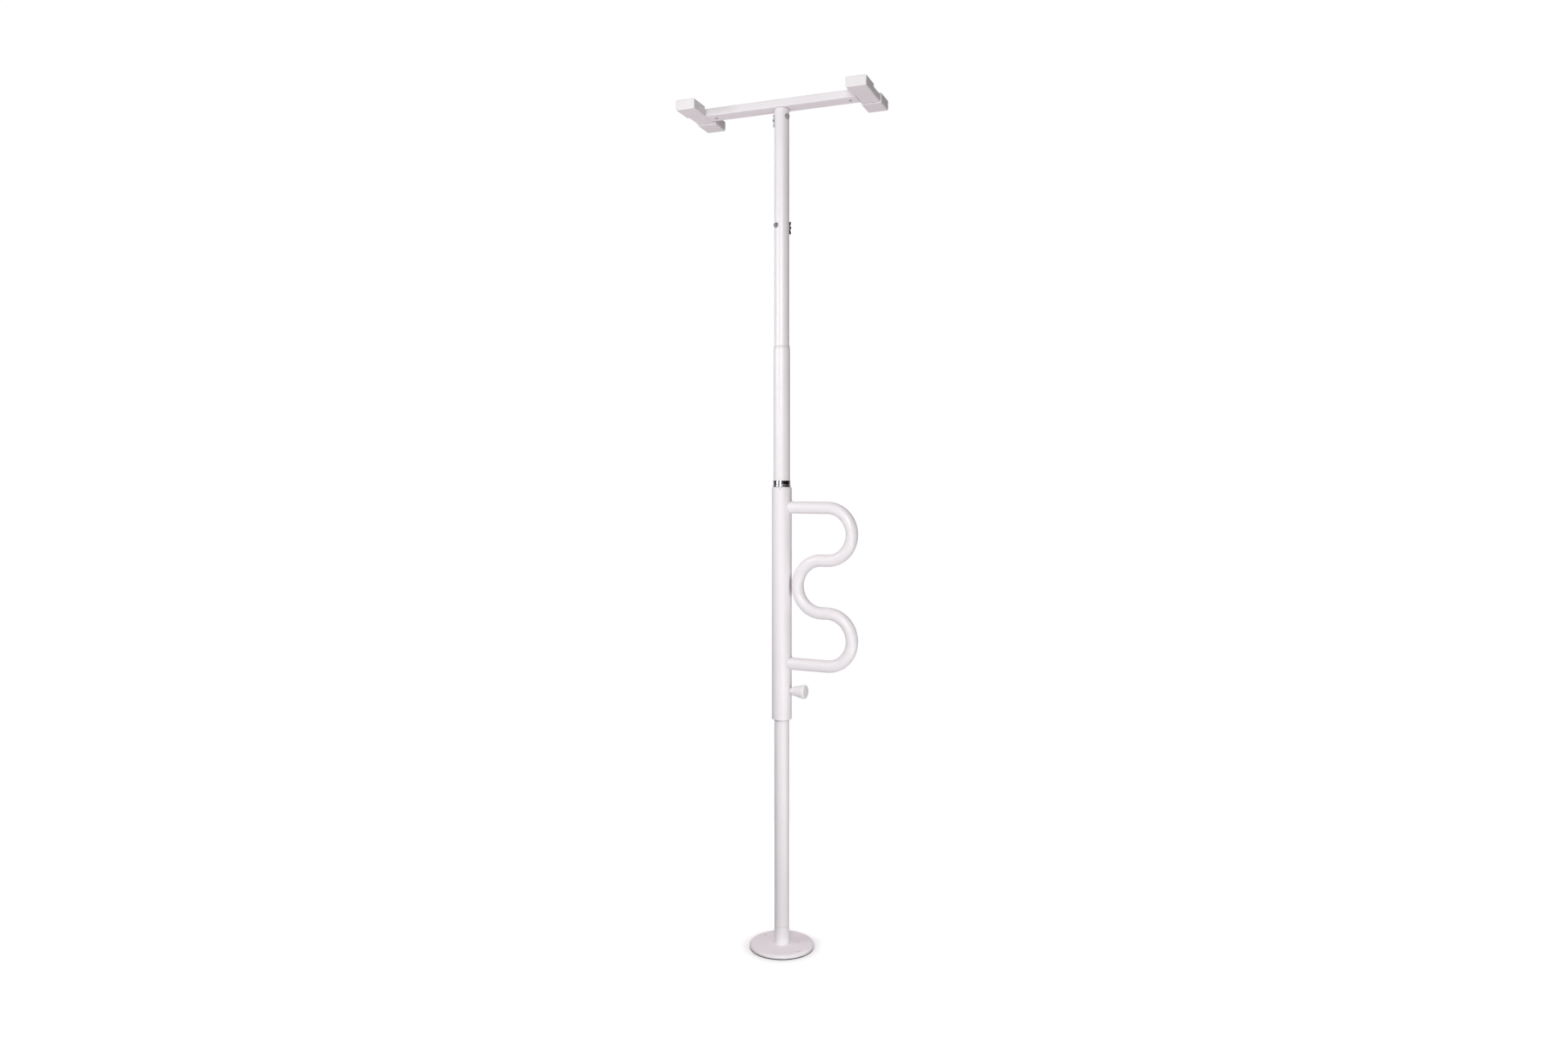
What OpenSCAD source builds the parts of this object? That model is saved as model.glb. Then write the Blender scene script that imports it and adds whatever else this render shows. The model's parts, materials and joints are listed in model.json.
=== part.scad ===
// Floor-to-ceiling safety pole with a pivoting curved grab bar.
// Origin: pole axis at floor level. +X: plane of the grab bar. +Z: up. Millimetres.

/* [Floor plate] */
// Diameter of the floor plate
plate_d = 164; // [140:2:200]
// Thickness of the steel floor plate
plate_t = 8; // [4:0.5:8]
// Thickness of the non-slip pad under the plate
pad_t = 2; // [1.5:0.5:3]
// Pitch circle diameter of the two screw holes
plate_pcd = 130; // [110:2:134]
// Diameter of the screw holes
plate_hole_d = 6; // [5:0.5:8]
// Direction of the first screw hole about the pole
plate_hole_angle = -23; // [-90:1:90]
// Height at which the lower tube sits on the plate's stub
stub_top_z = 53; // [40:1:80]

/* [Pole tubes] */
// Outer diameter of the lower and upper tubes
pole_d = 38.1; // [36:0.1:40]
// Wall of the lower and upper tubes
pole_wall = 1.5; // [1.2:0.1:2]
// Outer diameter of the turning centre tube
centre_d = 42.2; // [42:0.1:43]
// Wall of the centre tube
centre_wall = 1.3; // [1.2:0.05:1.35]
// Height of the centre tube's top end
centre_top_z = 1523; // [1500:1:1560]
// Height of the joint between the two upper tubes
tube_joint_z = 1842; // [1800:1:1900]

/* [Grab bar] */
// Height of the grip sleeve's lower end
sleeve_bottom_z = 580; // [560:1:600]
// Height of the grip sleeve's upper end
sleeve_top_z = 1168; // [1150:1:1180]
// Outer diameter of the grip sleeve
sleeve_d = 50.8; // [50.6:0.1:52]
// Wall of the grip sleeve
sleeve_wall = 1.6; // [1.5:0.1:1.7]
// Outer diameter of the curved rail
rail_d = 31; // [28:0.5:33]
// Wall of the curved rail
rail_wall = 1.5; // [1.2:0.1:2]
// Height of the rail's upper arm
rail_top_z = 1118; // [1100:1:1125]
// Bend radius of the rail, to the tube's middle
rail_bend_r = 66; // [60:1:70]
// Distance from the pole axis to the rail's farthest middle point
rail_reach = 194; // [185:1:210]
// Distance from the pole axis to the middle bend's nearest middle point
rail_waist = 45; // [43:1:55]

/* [Lock knob] */
// Height of the lock plunger
lock_z = 653; // [640:1:680]
// Distance from the pole axis to the knob's end
knob_end_x = 69; // [66:1:75]
// Diameter of the knob's outer end
knob_d = 35; // [30:0.5:38]
// Diameter of the knob's inner end
knob_small_d = 23; // [21:0.5:26]
// Number of lock positions around the pole
lock_holes = 8; // [4:1:8]

/* [Ceiling head] */
// Height of the ceiling pads' top faces
ceiling_z = 2155; // [2100:1:2200]
// Angle of the crossbar from the grab bar
head_angle = 6; // [-45:1:45]
// Depth (width) of the rectangular head tubes
bar_w = 47; // [42:1:50]
// Height of the rectangular head tubes
bar_h = 19.4; // [18:0.1:22]
// Wall of the rectangular head tubes
bar_wall = 1.5; // [1.2:0.1:2]
// Distance from the pole axis to the middle of each cross tube
cross_x = 226.5; // [210:0.5:240]
// Overall length of a cross tube with its caps
cross_len = 195; // [170:1:220]
// Length of a rubber cap along its cross tube
cap_len = 64; // [50:1:66]
// Side wall of a rubber cap
cap_wall = 3; // [2.5:0.25:4]
// Thickness of a rubber cap above the cross tube
cap_top_t = 4; // [3:0.5:6]

/* [Fasteners] */
// Direction of the tube joint bolt's nut end
joint_bolt_angle = 70; // [0:5:90]
// Direction of the head bolt's nut end
head_bolt_angle = 160; // [120:5:180]
// Span of the wing nuts
wing_span = 33; // [26:1:36]

/* [Jack] */
// Diameter of the jack screw
jack_d = 20; // [16:1:22]
// Lift of the upper pole from rest
jack_lift = 50; // [20:5:60]

/* [Hidden] */
$fn = 96;

white = "whitesmoke";
steel = "silver";

// Fits between pieces
over = 1; // how far a cutting tool passes the faces that it cuts
running = 0.05; // radial clearance of a shaft in its bush
pole_r = pole_d / 2;
pole_bore_r = pole_r - pole_wall;
spigot_r = pole_bore_r - 0.1;
spigot_wall = 2;

// Floor plate
plate_edge_r = 4;
pad_inset = 0.5; // rim of the plate outside the pad
plate_top_z = pad_t + plate_t;
stub_weld = 2.5;
stub_spigot_top_z = stub_top_z + 60;

// Lower tube and thrust bearing
lower_tube_top_z = 780;
plug_flange_t = 4;
plug_depth = 24;
thrust_t = 3;
thrust_z = lower_tube_top_z + plug_flange_t;
seat_z = thrust_z + thrust_t;
seat_t = 12;
pivot_pin_r = 6;
pivot_pin_len = 13;
washer_inset = 1;

// Centre tube and what is fixed to it
centre_r = centre_d / 2;
centre_bore_r = centre_r - centre_wall;
bush_flange_t = 2.5;
centre_bottom_z = sleeve_bottom_z + bush_flange_t + 1;
guide_len = 40;
lip_r = 20.2;
lip_top = 6;
index_h = 18;
index_r = 23.5;
lock_hole_r = 4.3;
support_h = 12;
collar_z = sleeve_top_z + 2.3;
collar_low_h = 4.2;
collar_groove_h = 1.4;
collar_high_h = 10.4;
grub_r = 2.5;
grub_sunk = 0.2;
collar_low_t = 1.6;
collar_groove_t = 0.6;
collar_high_t = 1.1;

// Sleeve and its bushes
sleeve_r = sleeve_d / 2;
sleeve_bore_r = sleeve_r - sleeve_wall;
pivot_bush_len = 30;
pivot_bush_lip_t = 2;
lower_bush_up = 8; // height of the lower bush above the sleeve's end
bush_bore_r = centre_r + running;
notch_angle = -72;
notch_w = 3;
notch_depth = 5;

// Rail
rail_r = rail_d / 2;
arc_far_x = rail_reach - rail_bend_r;
arc_near_x = rail_waist + rail_bend_r;
rail_start_x = 5; // inside the sleeve, where the coping cut removes it
section_turn = 45; // start point of the tube's circles, away from the plane of the bends

// Lock plunger, measured along +X from the pole axis, with the pin drawn clear of the index ring
pin_tip_bevel = 0.8;
pin_tip_x = index_r + 0.35;
pin_r = 4;
pin_collar_x = 32.3;
pin_collar_t = 3;
pin_collar_r = 6.2;
stem_r = 3;
chamber_x = 28;
chamber_r = 6.5;
housing_r = 8.25;
housing_end_x = 52;
housing_cap_x = 48;
knob_x = 32;
knob_bore_end_x = 60.5;
knob_clear = 0.35; // gap between the knob's bore and the housing
stem_end_x = 65;
spring_wire_r = 0.5;
spring_mean_r = 4.75;
spring_turns = 6;
spring_end_gap = 0.1;
knob_neck_bevel = 1;
knob_rim_x = [7, 4, 1.5]; // steps of the rounded rim, back from the knob's end
knob_rim_drop = [0.7, 0, 1, 4]; // how far each step lies inside the full radius

// Jack
nut_z = 1330;
nut_t = 30;
middle_bottom_z = nut_z + nut_t + 5;
stop_t = 6;
stop_gap = 2;
screw_bottom_z = nut_z - jack_lift - stop_gap - stop_t;
screw_plug_len = 30;
stop_r = 15;

// Upper tubes
connector_low = 80;
connector_high = 80;
joint_bolt_z = tube_joint_z - 8;
bolt_r = 3;
bolt_hole_r = 3.2;
bolt_head_t = 4;
bolt_head_af = 10;
washer_r = 6.5;
washer_t = 1.2;
nut_hub_h = 9;
nut_hub_r = 6.5;
nut_tip_r = 5;
wing_t = 2.4;
wing_h = 13;
bolt_end = pole_r + washer_t + nut_hub_h + 2;
bolt_reach = 40; // half-length of a bolt hole's cutter
wing_tip_r = 4.5;
wing_root_r = 1.2;
wing_heel_r = 1;

// Ceiling head
bar_top_z = ceiling_z - cap_top_t;
bar_bottom_z = bar_top_z - bar_h;
bar_corner_r = 2.5;
crossbar_half = cross_x - bar_w / 2;
cap_end_t = 4;
cap_round_r = 4;
cross_tube_half = cross_len / 2 - cap_end_t;
head_bolt_z = bar_bottom_z - 22;
head_spigot_bottom_z = bar_bottom_z - 70;
insert_len = 42;
insert_gap = 0.2;
insert_screw_x = crossbar_half - 21;
insert_screw_r = 2;
insert_head_r = 3.8;
insert_head_t = 2;
insert_screw_len = 13;
cap_under = 2.6; // cap's wall under the cross tube

// A tube or ring between two heights
module ring(z0, z1, outer, inner) {
    translate([0, 0, z0])
        difference() {
            cylinder(h = z1 - z0, r = outer);
            translate([0, 0, -over]) cylinder(h = z1 - z0 + 2 * over, r = inner);
        }
}

// A cylinder along +X, from x0 to x1
module rod_x(x0, x1, r) {
    translate([x0, 0, 0]) rotate([0, 90, 0]) cylinder(h = x1 - x0, r = r);
}

// A round turned about +X: its outline's points are [distance along X, radius]
module turned_x(outline) {
    rotate([0, 90, 0]) rotate_extrude() polygon([for (p = outline) [p[1], p[0]]]);
}

// Straight hole for a cross bolt, through everything at height z
module bolt_hole(z, angle, r = bolt_hole_r) {
    translate([0, 0, z]) rotate([0, 0, angle]) rod_x(-bolt_reach, bolt_reach, r);
}

module at_plate_holes() {
    for (turn = [0, 180])
        rotate([0, 0, plate_hole_angle + turn]) translate([plate_pcd / 2, 0, 0]) children();
}

// ---- Floor end ----

module floor_plate() {
    color(white) difference() {
        rotate_extrude() {
            square([plate_d / 2 - plate_edge_r, plate_top_z]);
            translate([0, pad_t]) square([plate_d / 2, plate_t - plate_edge_r]);
            translate([plate_d / 2 - plate_edge_r, plate_top_z - plate_edge_r]) circle(r = plate_edge_r);
        }
        translate([0, 0, -over]) cylinder(h = pad_t + over, r = plate_d / 2 - pad_inset);
        translate([0, 0, -over]) cylinder(h = plate_top_z + 2 * over, r = spigot_r - spigot_wall);
        at_plate_holes() translate([0, 0, -over]) cylinder(h = plate_top_z + 2 * over, d = plate_hole_d);
    }
}

module floor_pad() {
    color("dimgray") difference() {
        cylinder(h = pad_t, r = plate_d / 2 - pad_inset);
        at_plate_holes() translate([0, 0, -over]) cylinder(h = pad_t + 2 * over, d = plate_hole_d);
    }
}

// Stub with a weld fillet at its foot and a spigot that the lower tube slides over
module base_spigot() {
    color(white) difference() {
        union() {
            translate([0, 0, plate_top_z]) cylinder(h = stub_top_z - plate_top_z, r = pole_r);
            translate([0, 0, plate_top_z]) cylinder(h = stub_spigot_top_z - plate_top_z, r = spigot_r);
            translate([0, 0, plate_top_z])
                rotate_extrude()
                    polygon([
                        [pole_r - over, 0], [pole_r + stub_weld, 0],
                        [pole_r, stub_weld], [pole_r - over, stub_weld]
                    ]);
        }
        translate([0, 0, plate_top_z - over]) cylinder(h = stub_spigot_top_z, r = spigot_r - spigot_wall);
    }
}

module lower_tube() {
    color(white) ring(stub_top_z, lower_tube_top_z, pole_r, pole_bore_r);
}

// Plug in the lower tube's top end, with the pin that the centre tube turns on
module lower_tube_plug() {
    color(steel) {
        translate([0, 0, lower_tube_top_z - plug_depth]) cylinder(h = plug_depth, r = pole_bore_r);
        translate([0, 0, lower_tube_top_z]) cylinder(h = plug_flange_t, r = pole_r);
        translate([0, 0, thrust_z]) cylinder(h = pivot_pin_len, r = pivot_pin_r);
    }
}

module thrust_washer() {
    color("khaki") ring(thrust_z, seat_z, pole_r - washer_inset, pivot_pin_r + 2 * running);
}

// ---- Turning centre pole ----

module centre_tube() {
    color(white) difference() {
        ring(centre_bottom_z, centre_top_z, centre_r, centre_bore_r);
        lock_hole_set(centre_r + over);
    }
}

// The ring of radial holes that the lock pin drops into
module lock_hole_set(reach) {
    for (i = [0 : lock_holes - 1])
        translate([0, 0, lock_z]) rotate([0, 0, i * 360 / lock_holes])
            rod_x(centre_bore_r - 3 * over, reach, lock_hole_r);
}

module thrust_seat() {
    color(steel) ring(seat_z, seat_z + seat_t, centre_bore_r, pivot_pin_r + running);
}

module bottom_guide_bush() {
    color("ivory") {
        ring(centre_bottom_z - bush_flange_t, centre_bottom_z, centre_r, pole_r + running);
        ring(centre_bottom_z, centre_bottom_z + guide_len, centre_bore_r, pole_r + running);
    }
}

module index_ring() {
    color(steel) difference() {
        ring(lock_z - index_h / 2, lock_z + index_h / 2, index_r, centre_r);
        lock_hole_set(index_r + over);
    }
}

module support_collar() {
    top = sleeve_top_z - pivot_bush_len;
    color(steel) ring(top - support_h, top, index_r, centre_r);
}

// Chromed collar above the sleeve: a low band, a groove and a tall band
module pivot_collar() {
    groove_z = collar_z + collar_low_h;
    high_z = groove_z + collar_groove_h;
    color("gainsboro") difference() {
        union() {
            ring(collar_z, groove_z, centre_r + collar_low_t, centre_r);
            ring(groove_z, high_z, centre_r + collar_groove_t, centre_r);
            ring(high_z, high_z + collar_high_h, centre_r + collar_high_t, centre_r);
        }
        collar_screw_space();
    }
}

module collar_screw_space() {
    translate([0, 0, collar_z + collar_low_h + collar_groove_h + collar_high_h / 2])
        rotate([0, 0, 90]) rod_x(centre_r - over, centre_r + collar_low_t + over, grub_r);
}

module collar_grub_screw() {
    color("gray") intersection() {
        collar_screw_space();
        ring(collar_z, collar_z + 2 * collar_high_h, centre_r + collar_high_t - grub_sunk, centre_r);
    }
}

module jack_nut() {
    color("goldenrod") ring(nut_z, nut_z + nut_t, centre_bore_r, jack_d / 2 + running);
}

module top_guide_bush() {
    color("ivory") {
        ring(centre_top_z - guide_len, centre_top_z, centre_bore_r, pole_r + running);
        ring(centre_top_z, centre_top_z + lip_top, lip_r, pole_r + running);
    }
}

// ---- Pivoting grab bar ----

module grip_sleeve() {
    color(white) difference() {
        ring(sleeve_bottom_z, sleeve_top_z, sleeve_r, sleeve_bore_r);
        translate([0, 0, lock_z]) rod_x(sleeve_bore_r - 5 * over, sleeve_r + over, housing_r);
        rotate([0, 0, notch_angle]) translate([0, 0, sleeve_top_z]) rotate([90, 0, 90])
            linear_extrude(sleeve_r + over)
                polygon([
                    [-notch_w / 2, over], [-notch_w / 2, 0], [0, -notch_depth],
                    [notch_w / 2, 0], [notch_w / 2, over]
                ]);
    }
}

// Section of the rail's tube
module rail_section() {
    rotate([0, 0, section_turn]) difference() {
        circle(r = rail_r);
        circle(r = rail_r - rail_wall);
    }
}

// One straight length of the rail, from x0 to x1
module rail_arm(x0, x1, z) {
    translate([x0, 0, z]) rotate([0, 90, 0]) linear_extrude(x1 - x0) rail_section();
}

// One half-turn bend; side 1 bulges away from the pole and side -1 towards it
module rail_bend(x, z, side) {
    translate([x, 0, z]) rotate([90, side * 90, 0])
        rotate_extrude(angle = 180) translate([rail_bend_r, 0]) rail_section();
}

// One tube bent into three half-turns, its two ends coped to the sleeve
module grab_rail() {
    z = [for (i = [0 : 3]) rail_top_z - i * 2 * rail_bend_r];
    color(white) difference() {
        union() {
            rail_arm(rail_start_x, arc_far_x, z[0]);
            rail_bend(arc_far_x, z[0] - rail_bend_r, 1);
            rail_arm(arc_near_x, arc_far_x, z[1]);
            rail_bend(arc_near_x, z[1] - rail_bend_r, -1);
            rail_arm(arc_near_x, arc_far_x, z[2]);
            rail_bend(arc_far_x, z[2] - rail_bend_r, 1);
            rail_arm(rail_start_x, arc_far_x, z[3]);
        }
        translate([0, 0, sleeve_bottom_z]) cylinder(h = sleeve_top_z - sleeve_bottom_z, r = sleeve_r);
    }
}

module upper_pivot_bush() {
    color("ivory") {
        ring(sleeve_top_z - pivot_bush_len, sleeve_top_z, sleeve_bore_r, bush_bore_r);
        ring(sleeve_top_z, sleeve_top_z + pivot_bush_lip_t, sleeve_bore_r, bush_bore_r);
    }
}

module lower_pivot_bush() {
    z = sleeve_bottom_z + lower_bush_up;
    color("ivory") ring(z, z + pivot_bush_len, sleeve_bore_r, bush_bore_r);
}

module plunger_housing() {
    color(white) translate([0, 0, lock_z]) difference() {
        rod_x(sleeve_bore_r, housing_end_x, housing_r);
        rod_x(sleeve_bore_r - over, chamber_x + over, pin_r + running);
        rod_x(chamber_x, housing_end_x + over, chamber_r);
    }
}

module plunger_cap() {
    color(steel) translate([0, 0, lock_z]) difference() {
        rod_x(housing_cap_x, housing_end_x, chamber_r);
        rod_x(housing_cap_x - over, housing_end_x + over, stem_r + 2 * running);
    }
}

// Points of a helix about +X
function helix(t) = let (a = 360 * spring_turns * t,
    x0 = pin_collar_x + pin_collar_t + spring_wire_r + spring_end_gap,
    x1 = housing_cap_x - spring_wire_r - spring_end_gap)
    [x0 + (x1 - x0) * t, spring_mean_r * cos(a), spring_mean_r * sin(a)];

// Ring of the wire's section round one helix point
function wire_ring(t, sides) = let (a = 360 * spring_turns * t, c = helix(t))
    [for (k = [0 : sides - 1]) let (b = 360 * k / sides) c + spring_wire_r
        * [cos(b), sin(b) * cos(a), sin(b) * sin(a)]];

module lock_spring() {
    steps = spring_turns * 14;
    sides = 8;
    points = [for (i = [0 : steps]) each wire_ring(i / steps, sides)];
    walls = [for (i = [0 : steps - 1], k = [0 : sides - 1])
        let (n = (k + 1) % sides) [i * sides + k, i * sides + n, (i + 1) * sides + n, (i + 1) * sides + k]];
    color("gray") translate([0, 0, lock_z])
        polyhedron(points, concat([[for (k = [sides - 1 : -1 : 0]) k]], walls,
            [[for (k = [0 : sides - 1]) steps * sides + k]]), convexity = 10);
}

module lock_pin() {
    color(steel) translate([0, 0, lock_z]) turned_x([
        [pin_tip_x, 0], [pin_tip_x, pin_r - pin_tip_bevel], [pin_tip_x + pin_tip_bevel, pin_r],
        [pin_collar_x, pin_r],
        [pin_collar_x, pin_collar_r], [pin_collar_x + pin_collar_t, pin_collar_r],
        [pin_collar_x + pin_collar_t, stem_r], [stem_end_x, stem_r], [stem_end_x, 0]
    ]);
}

module lock_knob() {
    neck = knob_small_d / 2;
    full = knob_d / 2;
    color(white) translate([0, 0, lock_z]) difference() {
        turned_x([
            [knob_x, 0], [knob_x, neck - knob_neck_bevel], [knob_x + knob_neck_bevel, neck],
            [knob_end_x - knob_rim_x[0], full - knob_rim_drop[0]],
            [knob_end_x - knob_rim_x[1], full - knob_rim_drop[1]],
            [knob_end_x - knob_rim_x[2], full - knob_rim_drop[2]],
            [knob_end_x, full - knob_rim_drop[3]], [knob_end_x, 0]
        ]);
        rod_x(knob_x - over, knob_bore_end_x, housing_r + knob_clear);
        rod_x(knob_x - over, stem_end_x, stem_r);
    }
}

// ---- Upper pole ----

module jack_screw() {
    color(steel) translate([0, 0, screw_bottom_z + stop_t])
        cylinder(h = middle_bottom_z + screw_plug_len - screw_bottom_z - stop_t, r = jack_d / 2);
}

module screw_plug() {
    color(steel) ring(middle_bottom_z, middle_bottom_z + screw_plug_len, pole_bore_r, jack_d / 2);
}

// Stop on the screw's lower end, so that it can't be wound out of the nut
module screw_stop() {
    color("gray") translate([0, 0, screw_bottom_z]) cylinder(h = stop_t, r = stop_r);
}

module middle_tube() {
    color(white) difference() {
        ring(middle_bottom_z, tube_joint_z, pole_r, pole_bore_r);
        bolt_hole(joint_bolt_z, joint_bolt_angle);
    }
}

module tube_connector() {
    color(steel) difference() {
        ring(tube_joint_z - connector_low, tube_joint_z + connector_high, spigot_r, spigot_r - spigot_wall);
        bolt_hole(joint_bolt_z, joint_bolt_angle);
    }
}

module upper_tube() {
    color(white) difference() {
        ring(tube_joint_z, bar_bottom_z, pole_r, pole_bore_r);
        bolt_hole(head_bolt_z, head_bolt_angle);
    }
}

// Hexagon-head bolt across a tube, nut end along its angle
module cross_bolt(z, angle) {
    color(steel) translate([0, 0, z]) rotate([0, 0, angle]) {
        rod_x(-pole_r - washer_t, bolt_end, bolt_r);
        translate([-pole_r - washer_t - bolt_head_t, 0, 0]) rotate([0, 90, 0])
            cylinder(h = bolt_head_t, d = bolt_head_af / cos(30), $fn = 6);
    }
}

module washer_pair(z, angle) {
    color("gainsboro") translate([0, 0, z]) rotate([0, 0, angle])
        for (x = [pole_r, -pole_r - washer_t])
            difference() {
                rod_x(x, x + washer_t, washer_r);
                rod_x(x - over, x + washer_t + over, bolt_hole_r);
            }
}

// Wing nut on the bolt's nut end: a tapered hub with two ears along the pole
module wing_nut(z, angle) {
    x0 = pole_r + washer_t;
    color("gainsboro") translate([0, 0, z]) rotate([0, 0, angle]) difference() {
        union() {
            turned_x([[x0, 0], [x0, nut_hub_r], [x0 + nut_hub_h, nut_tip_r], [x0 + nut_hub_h, 0]]);
            for (side = [-1, 1]) wing(x0, side);
        }
        rod_x(x0 - over, x0 + nut_hub_h + over, bolt_r + running);
    }
}

// One ear: a rounded blade that leans outward from the hub
module wing(x0, side) {
    rotate([90, 0, 0]) translate([0, 0, -wing_t / 2]) linear_extrude(wing_t)
        difference() {
            hull() {
                translate([x0 + wing_root_r, side * (nut_tip_r - wing_root_r)])
                    circle(r = wing_root_r, $fn = 24);
                translate([x0 + nut_hub_h - wing_heel_r, side * (nut_tip_r - wing_heel_r / 2)])
                    circle(r = wing_heel_r, $fn = 24);
                translate([x0 + wing_h - wing_tip_r, side * (wing_span / 2 - wing_tip_r)])
                    circle(r = wing_tip_r, $fn = 32);
            }
            translate([x0 - over, side > 0 ? -wing_span : 0]) square([wing_h + 2 * over, wing_span]);
        }
}

module cross_bolts() {
    cross_bolt(joint_bolt_z, joint_bolt_angle);
    cross_bolt(head_bolt_z, head_bolt_angle);
}

module cross_washers() {
    washer_pair(joint_bolt_z, joint_bolt_angle);
    washer_pair(head_bolt_z, head_bolt_angle);
}

module joint_wing_nut() { wing_nut(joint_bolt_z, joint_bolt_angle); }
module head_wing_nut() { wing_nut(head_bolt_z, head_bolt_angle); }

// ---- Ceiling head, drawn with the crossbar along X and then turned ----

// Rectangle with rounded corners, centred
module round_rect(w, h, r) {
    translate([-w / 2 + r, -h / 2]) square([w - 2 * r, h]);
    translate([-w / 2, -h / 2 + r]) square([w, h - 2 * r]);
    for (x = [-1, 1], y = [-1, 1])
        translate([x * (w / 2 - r), y * (h / 2 - r)]) circle(r = r, $fn = 32);
}

module bar_section(grow = 0) {
    round_rect(bar_w + 2 * grow, bar_h + 2 * grow, max(bar_corner_r + grow, 0.5));
}

// Rectangular tube along X between x0 and x1, at the head's height
module bar_x(x0, x1) {
    translate([x0, 0, (bar_top_z + bar_bottom_z) / 2]) rotate([90, 0, 90]) linear_extrude(x1 - x0)
        difference() {
            bar_section();
            bar_section(-bar_wall);
        }
}

module crossbar() {
    color(white) rotate([0, 0, head_angle]) difference() {
        bar_x(-crossbar_half, crossbar_half);
        insert_screw_holes();
    }
}

module insert_screw_holes() {
    for (side = [-1, 1])
        translate([side * insert_screw_x, 0, bar_bottom_z - over])
            cylinder(h = insert_screw_len + 3 * over, r = insert_screw_r);
}

// Plastic tongues that join the crossbar's ends to the cross tubes
module crossbar_inserts() {
    color("ivory") rotate([0, 0, head_angle]) difference() {
        for (side = [-1, 1])
            translate([side * (crossbar_half - insert_len / 2), 0, (bar_top_z + bar_bottom_z) / 2])
                rotate([90, 0, 90]) linear_extrude(insert_len, center = true)
                    bar_section(-bar_wall - insert_gap);
        insert_screw_holes();
    }
}

module insert_screws() {
    color(steel) rotate([0, 0, head_angle])
        for (side = [-1, 1]) translate([side * insert_screw_x, 0, 0]) {
            translate([0, 0, bar_bottom_z - insert_head_t]) cylinder(h = insert_head_t, r = insert_head_r);
            translate([0, 0, bar_bottom_z]) cylinder(h = insert_screw_len, r = insert_screw_r);
        }
}

module cross_tube(side) {
    color(white) rotate([0, 0, head_angle]) translate([side * cross_x, 0, 0])
        rotate([0, 0, 90]) bar_x(-cross_tube_half, cross_tube_half);
}

// Rubber cap over one end of a cross tube; way 1 is the back end and -1 the front end
module ceiling_cap(side, way) {
    inner_end = cross_len / 2 - cap_len;
    base_z = bar_bottom_z - cap_under;
    color(white) rotate([0, 0, head_angle]) translate([side * cross_x, 0, 0]) facing(way)
        difference() {
            translate([0, inner_end, (ceiling_z + base_z) / 2]) rotate([90, 0, 0]) mirror([0, 0, 1])
                linear_extrude(cap_len) round_rect(bar_w + 2 * cap_wall, ceiling_z - base_z, cap_round_r);
            translate([0, inner_end - over, (bar_top_z + bar_bottom_z) / 2])
                rotate([90, 0, 0]) mirror([0, 0, 1]) linear_extrude(cap_len - cap_end_t + over) bar_section();
        }
}

// The same shape at the back end, or mirrored to the front end
module facing(way) {
    if (way > 0) children();
    else mirror([0, 1, 0]) children();
}

module head_spigot() {
    color(steel) difference() {
        ring(head_spigot_bottom_z, bar_bottom_z, spigot_r, spigot_r - spigot_wall);
        bolt_hole(head_bolt_z, head_bolt_angle);
    }
}

module cross_tube_left() { cross_tube(-1); }
module cross_tube_right() { cross_tube(1); }
module cap_left_front() { ceiling_cap(-1, -1); }
module cap_left_back() { ceiling_cap(-1, 1); }
module cap_right_front() { ceiling_cap(1, -1); }
module cap_right_back() { ceiling_cap(1, 1); }

floor_plate();
floor_pad();
base_spigot();
lower_tube();
lower_tube_plug();
thrust_washer();
centre_tube();
thrust_seat();
bottom_guide_bush();
index_ring();
support_collar();
pivot_collar();
collar_grub_screw();
jack_nut();
top_guide_bush();
grip_sleeve();
grab_rail();
upper_pivot_bush();
lower_pivot_bush();
plunger_housing();
plunger_cap();
lock_spring();
lock_pin();
lock_knob();
jack_screw();
screw_plug();
screw_stop();
middle_tube();
tube_connector();
upper_tube();
cross_bolts();
cross_washers();
joint_wing_nut();
head_spigot();
head_wing_nut();
crossbar();
crossbar_inserts();
insert_screws();
cross_tube_left();
cross_tube_right();
cap_left_front();
cap_left_back();
cap_right_front();
cap_right_back();
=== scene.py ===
"""Looks of the floor-to-ceiling safety pole.

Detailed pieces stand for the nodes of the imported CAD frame, in soft studio light.
"""

import json
import math

import bmesh
import bpy
from mathutils import Matrix, Vector

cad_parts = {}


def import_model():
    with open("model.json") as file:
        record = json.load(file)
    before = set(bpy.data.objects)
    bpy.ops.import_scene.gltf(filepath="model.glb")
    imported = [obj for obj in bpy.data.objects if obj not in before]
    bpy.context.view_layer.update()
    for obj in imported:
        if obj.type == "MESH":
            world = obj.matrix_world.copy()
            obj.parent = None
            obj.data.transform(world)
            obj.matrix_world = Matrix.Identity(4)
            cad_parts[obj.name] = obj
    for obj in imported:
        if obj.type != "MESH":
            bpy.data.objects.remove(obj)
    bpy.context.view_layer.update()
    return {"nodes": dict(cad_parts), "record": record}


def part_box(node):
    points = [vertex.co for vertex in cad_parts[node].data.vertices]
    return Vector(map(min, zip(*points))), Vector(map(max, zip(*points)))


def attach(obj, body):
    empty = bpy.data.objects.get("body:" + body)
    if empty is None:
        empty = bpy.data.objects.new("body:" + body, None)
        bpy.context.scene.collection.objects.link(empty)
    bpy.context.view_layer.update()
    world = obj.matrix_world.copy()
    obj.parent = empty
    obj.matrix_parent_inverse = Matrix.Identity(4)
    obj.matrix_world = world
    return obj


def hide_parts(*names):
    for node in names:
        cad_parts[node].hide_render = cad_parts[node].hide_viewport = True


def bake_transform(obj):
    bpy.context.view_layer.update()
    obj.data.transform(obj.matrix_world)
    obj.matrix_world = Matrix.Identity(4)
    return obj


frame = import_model()
MM = 0.001
TAU = math.tau

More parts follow.
